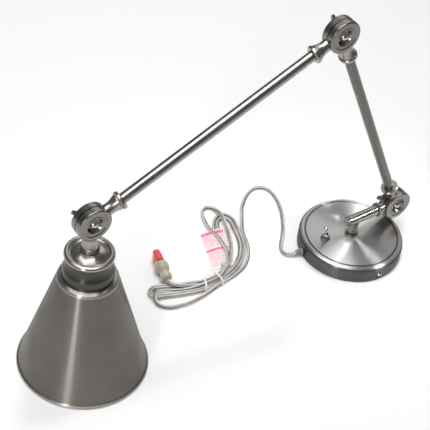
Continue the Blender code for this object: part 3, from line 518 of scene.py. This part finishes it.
def swept(name, points, turns, section):
    """A closed tube of the given section along points, with a UV map of turn and distance."""
    count, around = len(points), len(section)
    along = np.gradient(points, axis=0)
    along /= np.linalg.norm(along, axis=1)[:, None]
    level = np.cross(along, (0, 0, 1))
    level /= np.linalg.norm(level, axis=1)[:, None]
    upward = np.cross(level, along)
    cos, sin = np.cos(turns)[:, None], np.sin(turns)[:, None]
    wide = level * cos + upward * sin
    thin = upward * cos - level * sin
    rings = points[:, None] + wide[:, None] * section[:, :1] + thin[:, None] * section[:, 1:]
    obj = mesh_object(name, rings.reshape(-1, 3), ring_faces(count, around), 75)
    reach = distance_along(points)
    layer = obj.data.uv_layers.new(name="lay")
    for k, polygon in enumerate(obj.data.polygons):
        if len(polygon.vertices) != 4:
            continue
        i, j = divmod(k, around)
        corners = ((j, i), (j + 1, i), (j + 1, i + 1), (j, i + 1))
        for loop, (turn, ring) in zip(polygon.loop_indices, corners):
            layer.data[loop].uv = (turn / around, reach[ring] / UV_LENGTH)
    return obj


def turned(name, profile, spot, direction, steps, degrees, swell=None):
    """A (radius, height) profile in mm, turned about direction from spot.

    swell(angle, height) is added to the radius, for ribs and parting lines.
    """
    turn = Vector((0, 0, 1)).rotation_difference(direction).to_matrix()
    verts = []
    for radius, height in profile:
        for j in range(steps):
            more = swell(2 * math.pi * j / steps, height) if swell else 0.0
            verts.append(spot + turn @ polar((radius + more) / 1000, 360 * j / steps, height / 1000))
    return mesh_object(name, verts, ring_faces(len(profile), steps), degrees)


def make_relief():
    """Tapered strain relief with a flange on the plate's side and ring grooves."""
    profile = [(2.0, 0.0), (2.6, 0.0), (3.0, 1.2), (3.4, 3.0), (4.4, 6.0), (4.6, 8.5), (4.6, 10.0),
               (3.7, 10.3), (3.7, 12.2), (4.6, 12.35), (4.8, 12.7), (4.8, 13.3), (4.5, 13.6), (3.8, 13.8)]
    for k in range(4):
        at = 14.2 + 1.6 * k
        radius = 3.7 - 0.17 * k
        profile += [(radius, at), (radius, at + 0.7), (radius - 0.5, at + 0.9), (radius - 0.5, at + 1.3)]
    profile += [(3.0, 20.6), (3.0, 20.8), (2.8, 21.1), (2.4, 21.1)]
    relief = turned("strain_relief", profile, polar(PLATE_R - RELIEF_INSIDE, EXIT_ANGLE, EXIT_Z),
                    polar(1, EXIT_ANGLE), 36, 50)
    return finish_piece(relief, RELIEF_VINYL, "base", "clear_vinyl", "cord_strain_relief")


def make_plug():
    """Moulded two-lobed plug body with finger ribs and a parting line."""
    small_lobe = [(2.3, 0.0), (2.9, 0.0), (3.9, 0.15), (5.1, 0.7), (6.0, 1.6), (6.6, 2.8), (6.95, 4.2),
                  (7.05, 5.6), (6.95, 7.0), (6.6, 8.4), (6.0, 9.8), (5.4, 11.0), (5.15, 11.9)]
    large_lobe = [(5.4, 12.8), (6.3, 13.8), (7.4, 15.2), (8.3, 17.0), (8.8, 19.0), (8.97, 21.0),
                  (8.85, 23.2), (8.4, 25.4), (7.7, 26.8), (7.5, 27.2), (7.5, 27.5), (7.2, 27.9),
                  (6.8, 27.9)]

    def seam_and_ribs(angle, height):
        seam = 0.10 * math.exp(-((math.sin(angle) / 0.05) ** 2)) * min(1.0, height / 2)
        rib = 0.16 * math.cos(math.pi * (height - 5.6) / 2.2) if 2.5 < height < 9 else 0
        return seam + rib * math.exp(-((math.cos(angle) / 0.55) ** 2)) - PLUG_SEAM_ROOM

    plug = turned("plug_moulding", small_lobe + large_lobe, PLUG_BASE, PLUG_ALONG, 48, 60, seam_and_ribs)
    return finish_piece(plug, TAN_VINYL, "base", "tan_vinyl", "plug_body")


def rounded_rectangle(half_x, half_y, radius):
    points = []
    for sx, sy, start in ((1, 1, 0), (-1, 1, 90), (-1, -1, 180), (1, -1, 270)):
        for step in range(0, 91, 18):
            angle = math.radians(start + step)
            points.append((sx * (half_x - radius) + radius * math.cos(angle),
                           sy * (half_y - radius) + radius * math.sin(angle)))
    return points


def make_cap():
    """Red blade cap: a rounded sleeve with a collar at its mouth, grip ribs and a soft end."""
    across = Vector((-PLUG_ALONG.y, PLUG_ALONG.x, 0))
    foot = PLUG_FACE + CAP_GAP
    rows = [(0.0, 4.2, 8.0), (0.3, 4.5, 8.3), (1.5, 4.5, 8.3), (1.8, 4.25, 8.05)]
    for k in range(4):
        at = 3.4 + 2.1 * k
        rows += [(at, 4.2, 8.0), (at + 0.3, 4.4, 8.2), (at + 0.9, 4.4, 8.2), (at + 1.2, 4.2, 8.0)]
    rows += [(13.2, 4.15, 7.95), (16.2, 4.05, 7.85), (17.0, 3.75, 7.55), (17.4, 3.1, 6.9),
             (17.5, 2.2, 6.0)]
    verts = []
    for at, half_x, half_z in rows:
        for x, z in rounded_rectangle(half_x / 1000, half_z / 1000, CAP_CORNER):
            verts.append(PLUG_BASE + PLUG_ALONG * (foot + at / 1000) + across * x + Vector((0, 0, z)))
    faces = ring_faces(len(rows), len(verts) // len(rows))
    cap = mesh_object("plug_blade_cap", verts, [tuple(reversed(face)) for face in faces], 35)
    return finish_piece(cap, RED_PLASTIC, "base", "red_plastic", "plug_cap")


def ribbon(verts, faces, spots, widths, thickness, closed):
    """Add a flat strip along spots; each width is the vector from its middle to its edge."""
    first, count = len(verts), len(spots)
    for i in range(count):
        ahead = spots[(i + 1) % count if closed else min(i + 1, count - 1)]
        behind = spots[(i - 1) % count if closed else max(i - 1, 0)]
        lift = widths[i].cross(ahead - behind).normalized() * thickness / 2
        verts += [spots[i] + widths[i] + lift, spots[i] - widths[i] + lift,
                  spots[i] - widths[i] - lift, spots[i] + widths[i] - lift]
    for i in range(count if closed else count - 1):
        a, b = first + 4 * i, first + 4 * ((i + 1) % count)
        faces += [(a + j, b + j, b + (j + 1) % 4, a + (j + 1) % 4) for j in range(4)]
    if not closed:
        last = first + 4 * (count - 1)
        faces += [(first + 3, first + 2, first + 1, first), (last, last + 1, last + 2, last + 3)]


TIE_HALF_STRIP = 0.0011     # half of the strip's width, along the bundle
TIE_STRIP = 0.0003          # its thickness
TIE_LINK = Vector((0.0003, 0.00085, 0.0006))    # from the link's middle to its edge
TIE_LINK_SHEET = 0.0004
TIE_LINK_Z = 0.0104
TIE_LINK_SIDE = 0.80        # share of a turn's half width at which the link meets it
TIE_LINK_BOW = Vector((0, 0.0016, 0.0004))
# Each turn of the tie: its middle in metres, the bundle's direction there in degrees, and half of
# the turn's width in mm. Its outline: share of that half width, and height in mm.
TIE_TURNS = [((-0.2066, 0.0250), -24.0, 8.7), ((-0.1858, 0.0256), 3.0, 8.3)]
TIE_OUTLINE = [
    (-0.86, 0.2), (-1.0, 1.2), (-1.0, 4.4), (-0.86, 7.2), (-0.45, 10.1), (0.0, 10.6), (0.5, 10.5),
    (0.86, 9.4), (1.0, 5.0), (1.0, 1.2), (0.86, 0.2), (0.3, 0.16), (-0.3, 0.16), (-0.8, 0.19),
]


def make_tie():
    """White tie: two turns round the bundle, and the link between them along its top edge."""
    verts, faces = [], []
    shoulders = []
    for (x, y), turn, half in TIE_TURNS:
        across = polar(1, 90 + turn)
        side = polar(TIE_HALF_STRIP, turn)
        loop = smooth_route([(s * half, z, 0) for s, z in TIE_OUTLINE], 1.0)
        spots = [Vector((x, y, z / 1000)) + across * (s / 1000) for s, z, _ in loop]
        ribbon(verts, faces, spots, [side] * len(spots), TIE_STRIP, True)
        shoulders.append(Vector((x, y, TIE_LINK_Z)) + across * (half * TIE_LINK_SIDE / 1000))
    a, b = shoulders
    spots = [a.lerp(b, t) + TIE_LINK_BOW * math.sin(math.pi * t) for t in np.linspace(0, 1, 12)]
    ribbon(verts, faces, spots, [TIE_LINK] * len(spots), TIE_LINK_SHEET, False)
    tie = mesh_object("cord_tie", verts, faces, 35)
    return finish_piece(tie, WHITE_PLASTIC, "base", "white_plastic", "twist_tie_1", "twist_tie_2")


# In mm. The corners go round from the one at the top left of the print.
TAG_CORNERS = [(-163.2, 107.5), (-128.8, 98.6), (-152.0, 38.2), (-185.5, 46.9)]
TAG_COLUMNS, TAG_MESH_ROWS = 26, 44
TAG_SHEET = 0.25
TAG_LOW = 0.45              # the tag's upper face where it lies on the table
TAG_ON_CORD = 3.4           # distance from a cord's middle at which the tag starts to fall
TAG_SAG = 15.0              # distance over which it then falls to the table
TAG_CURL = 0.9              # how far its left edge curls up


def make_tag():
    """Paper tag that lies over the runs of cord beneath it and sags to the table beside them."""
    runs = np.vstack([smooth_route(run, 2.0) for run in UNDER_TAG])
    run_tops = runs[:, 2] + CORD_LOBE + CORD_LOBE_SPOT * np.sin(np.radians(runs[:, 3]))
    (ax, ay), (bx, by), (cx, cy), (dx, dy) = TAG_CORNERS
    columns, rows = TAG_COLUMNS, TAG_MESH_ROWS
    tops = []
    for r in range(rows):
        v = r / (rows - 1)
        for c in range(columns):
            u = c / (columns - 1)
            x = (1 - v) * ((1 - u) * ax + u * bx) + v * ((1 - u) * dx + u * cx)
            y = (1 - v) * ((1 - u) * ay + u * by) + v * ((1 - u) * dy + u * cy)
            away = np.hypot(runs[:, 0] - x, runs[:, 1] - y)
            near = np.clip(1 - (away - TAG_ON_CORD) / TAG_SAG, 0, 1)
            lift = float((near * near * (3 - 2 * near) * (run_tops - 0.1)).max())
            curl = TAG_CURL * max(0.0, 1 - u / 0.25) ** 2 * (0.4 + 0.6 * v)
            tops.append((x, y, TAG_LOW + lift + curl, u, v))
    tops = np.array(tops)
    count = len(tops)
    verts = np.vstack([tops[:, :3], tops[:, :3] - (0, 0, TAG_SHEET)]) / 1000
    faces = []
    for r in range(rows - 1):
        for c in range(columns - 1):
            a, b = r * columns + c, (r + 1) * columns + c
            faces += [(a, b, b + 1, a + 1), (a + count, a + 1 + count, b + 1 + count, b + count)]
    border = (list(range(columns)) + [r * columns + columns - 1 for r in range(1, rows)]
              + [(rows - 1) * columns + c for c in range(columns - 2, -1, -1)]
              + [r * columns for r in range(rows - 2, 0, -1)])
    for a, b in zip(border, border[1:] + border[:1]):
        faces.append((a, b, b + count, a + count))
    tag = mesh_object("paper_tag", verts, faces, 50)
    layer = tag.data.uv_layers.new(name="lay")
    for loop in tag.data.loops:
        layer.data[loop.index].uv = tops[loop.vertex_index % count, 3:5]
    return finish_piece(tag, TAG_PAPER, "base", "tag_paper", "warning_tag")


def make_cord():
    route = smooth_route(CORD_ROUTE, CORD_SPACING)
    points = route[:, :3] / 1000
    cord = swept("supply_cord", points, np.radians(route[:, 3]), cord_section())
    finish_piece(cord, CORD_VINYL, "base", "clear_vinyl", "cord_lead", "cord_hank")
    pieces = [make_relief(), make_plug(), make_cap(), make_tie(), make_tag(),
              NODES["plug_blade_1"], NODES["plug_blade_2"]]


make_cord()


# ------------------------------------------------------------------ the lamp's own parts
# The plating is darker than bare nickel, as painted shade for the dark room that the real lamp mirrors,
# because this one stands on a bright floor. Each part's copy of it below is made lighter (painted light) or
# darker (painted shade) so that its reflections come out as bright as the real part's.
NICKEL = (0.29, 0.27, 0.25)
PLATE_LIT_NICKEL = (0.54, 0.53, 0.52)
TUBE_LIT_NICKEL = (0.36, 0.345, 0.325)
LOWER_TUBE_SHADED_NICKEL = (0.15, 0.142, 0.128)
COVER_SHADED_NICKEL = (0.085, 0.080, 0.074)
KNUCKLE_SHADED_NICKEL = (0.245, 0.232, 0.216)
LAMPSHADE_SHADED_NICKEL = (0.215, 0.198, 0.18)
UP = (0, 0, 1)
ALONG = (1, 0, 0)
ACROSS = (0, 1, 0)
# Where painted shade and painted highlights change a part's tone: radii on the plate, heights on the shade
# and its cover.
PLATE_GROOVE_SHADE = (0.0579, 0.0603)
PLATE_SIDE_SHADE_R = 0.0650
COVER_CROWN_HIGHLIGHT_Z = 0.1662
LAMPSHADE_SHOULDER_HIGHLIGHT_Z = 0.1322
LAMPSHADE_BEAD_HIGHLIGHT_Z = 0.0032
NECK_HIGHLIGHT_START_R = 0.0207       # past the knuckle's discs, from the joint's axis; the necks' painted highlight starts here


def joint_of(name):
    return Vector(next(j for j in frame["joints"] if j["name"] == name)["pos_m"])


LOWER = joint_of("lower_knuckle")
ELBOW = joint_of("elbow_knuckle")
HEAD = joint_of("head_knuckle")
SWITCH = joint_of("toggle_switch")
SWITCH_AXIS_POINT = Vector((SWITCH.x, SWITCH.y, 0))
STUB_AXIS_POINT = Vector((0, 0, LOWER.z))
SHADE_AXIS_POINT = Vector((HEAD.x, 0, 0))
ZERO = Vector((0, 0, 0))

# The knuckles' necks, past their discs, are lightened as a painted highlight.
NICKEL_DISC = dict(roughness=0.25, pitch=1700.0, grooves=0.4, painted_light_bands=((RADIUS, NECK_HIGHLIGHT_START_R, FAR, 1.5),))
MATERIALS = {
    # The plate's groove and its side wall are darkened as painted shade.
    "backplate": brushed("plate_lit_and_shaded_nickel", PLATE_LIT_NICKEL, ZERO, UP, 0.36, 3200.0, anisotropy=0.96,
                         painted_light_bands=((RADIUS, *PLATE_GROOVE_SHADE, 0.37), (RADIUS, PLATE_SIDE_SHADE_R, FAR, 0.24))),
    # The lampshade's top shoulder and rim bead are lightened as painted highlights.
    "shade": brushed("lampshade_shaded_and_highlit_nickel", LAMPSHADE_SHADED_NICKEL, SHADE_AXIS_POINT, UP, 0.34, 2800.0, anisotropy=0.95,
                     painted_light_bands=((HEIGHT, LAMPSHADE_SHOULDER_HIGHLIGHT_Z, FAR, 2.0), (HEIGHT, -FAR, LAMPSHADE_BEAD_HIGHLIGHT_Z, 2.2))),
    # The cover's band is darkened as painted shade, and its crown is lightened as a painted highlight.
    "socket_cover": brushed("cover_shaded_and_highlit_nickel", COVER_SHADED_NICKEL, SHADE_AXIS_POINT, UP, 0.26,
                            anisotropy=0.8, painted_light_bands=((HEIGHT, COVER_CROWN_HIGHLIGHT_Z, FAR, 4.8),)),
    "swivel_post": brushed("post_nickel", NICKEL, ZERO, UP, 0.24),
    "swivel_collar": brushed("collar_nickel", NICKEL, ZERO, UP, 0.2),
    "switch_nut": brushed("switch_nut_nickel", NICKEL, SWITCH_AXIS_POINT, UP, 0.22),
    "stub_tube": brushed("stub_lit_nickel", TUBE_LIT_NICKEL, STUB_AXIS_POINT, ALONG, 0.2,
                         along=True, grooves=0.06),
    "stub_end_cap": brushed("end_cap_nickel", NICKEL, STUB_AXIS_POINT, ALONG, 0.22),
    "lower_arm_tube": brushed("lower_tube_shaded_nickel", LOWER_TUBE_SHADED_NICKEL, LOWER, ELBOW - LOWER, 0.24,
                              along=True, grooves=0.06),
    "upper_arm_tube": brushed("upper_tube_lit_nickel", TUBE_LIT_NICKEL, ELBOW, HEAD - ELBOW, 0.24,
                              along=True, grooves=0.06),
}
for joint_name, centre in (("lower", LOWER), ("elbow", ELBOW), ("head", HEAD)):
    for half in ("front", "rear"):
        MATERIALS[f"{joint_name}_knuckle_{half}"] = brushed(
            f"{joint_name}_{half}_nickel", KNUCKLE_SHADED_NICKEL, centre, ACROSS, **NICKEL_DISC)
WING = bright_metal("wing_nut_nickel", (0.20, 0.19, 0.175), 0.26, 0.3)
POLISHED = bright_metal("polished_nickel", (0.62, 0.60, 0.57), 0.12)
ZINC = bright_metal("zinc_plate", (0.48, 0.49, 0.52), 0.34, 0.5)
BRASS = bright_metal("plain_brass", (0.72, 0.54, 0.26), 0.26, 0.4)
FIBRE = plastic("black_fibre", (0.035, 0.032, 0.03), 0.8, 1400.0, depth=0.00008)
PHENOLIC = plastic("black_phenolic", (0.012, 0.012, 0.013), 0.33, 500.0, coat=0.2)
MATERIALS |= dict.fromkeys(("lower_wing_nut", "elbow_wing_nut", "head_wing_nut"), WING)
MATERIALS |= dict.fromkeys(("lower_bolt", "elbow_bolt", "head_bolt", "side_screw_1", "side_screw_2",
                            "switch_bushing", "toggle_lever"), POLISHED)
MATERIALS |= dict.fromkeys(("wall_bracket", "swivel_washer", "lower_plain_washer",
                            "elbow_plain_washer", "head_plain_washer"), ZINC)
MATERIALS |= dict.fromkeys(("swivel_nut", "head_nipple", "head_locknut", "lampholder_screw_shell",
                            "lampholder_contact", "plug_blade_1", "plug_blade_2"), BRASS)
MATERIALS |= dict.fromkeys(("lower_friction_washer", "elbow_friction_washer",
                            "head_friction_washer"), FIBRE)
MATERIALS |= dict.fromkeys(("switch_body", "lampholder_body", "shade_ring"), PHENOLIC)
WELD_GAP = 0.00001
SHARP_ANGLE = math.radians(31)


def dress(node, material):
    """Give a CAD node its material and smooth its facets, with its own edges kept."""
    obj = NODES[node]
    mesh = obj.data
    mesh.materials.clear()
    mesh.materials.append(material)
    if "custom_normal" in mesh.attributes:
        mesh.attributes.remove(mesh.attributes["custom_normal"])
    mesh.shade_smooth()
    weld = obj.modifiers.new("weld", "WELD")
    weld.merge_threshold = WELD_GAP
    split = obj.modifiers.new("split", "EDGE_SPLIT")
    split.use_edge_sharp = False
    split.split_angle = SHARP_ANGLE
    weighted = obj.modifiers.new("weighted", "WEIGHTED_NORMAL")
    weighted.keep_sharp = True


for node, material in MATERIALS.items():
    dress(node, material)


# ------------------------------------------------------------------ stage and light
FLOOR_HALF = 6.0
FLOOR_GAP = 0.0004          # keeps the floor just under the faces that lie on z = 0
FLOOR_COLOUR = (0.96, 0.96, 0.96)
SKY_COLOUR = (0.93, 0.96, 1.0, 1)
SKY_STRENGTH = 0.15
PLATE_SPOT = (0.0, 0.0, 0.0)
SHADE_SPOT = (-0.39, 0.0, 0.1)


def area_light(name, spot, target, size, energy, spread=180):
    data = bpy.data.lights.new(name, "AREA")
    data.shape = "RECTANGLE"
    data.size, data.size_y = size
    data.energy = energy
    data.spread = math.radians(spread)
    light = add_object(name, data)
    light.location = spot
    light.rotation_mode = "QUATERNION"
    light.rotation_quaternion = (Vector(target) - Vector(spot)).to_track_quat("-Z", "Y")


def make_stage():
    bm = bmesh.new()
    bmesh.ops.create_grid(bm, x_segments=1, y_segments=1, size=FLOOR_HALF)
    mesh = bpy.data.meshes.new("studio_floor")
    bm.to_mesh(mesh)
    bm.free()
    floor = add_object("studio_floor", mesh)
    floor.location.z = -FLOOR_GAP
    tree = Tree("pale_floor")
    tree.set(Base_Color=FLOOR_COLOUR, Roughness=0.85)
    floor.data.materials.append(tree.material)
    world = bpy.data.worlds.new("studio")
    bpy.context.scene.world = world
    world.use_nodes = True
    background = world.node_tree.nodes["Background"]
    background.inputs["Color"].default_value = SKY_COLOUR
    background.inputs["Strength"].default_value = SKY_STRENGTH
    area_light("top", (-0.5, 0.1, 2.2), (-0.16, 0.0, 0.1), size=(1.5, 1.5), energy=33)
    area_light("back", (1.1, 1.3, 1.5), PLATE_SPOT, size=(1.7, 1.1), energy=6.5)
    area_light("plate_near", (0.96, -1.0, 1.44), PLATE_SPOT, size=(0.2, 0.2), energy=0.12, spread=14)
    area_light("plate_high", (0.33, 0.4, 2.1), PLATE_SPOT, size=(0.2, 0.2), energy=8)
    area_light("shade_streak", (-1.75, -0.95, 0.9), SHADE_SPOT, size=(0.11, 0.9), energy=10)
    bpy.context.scene.view_settings.view_transform = "Standard"


make_stage()
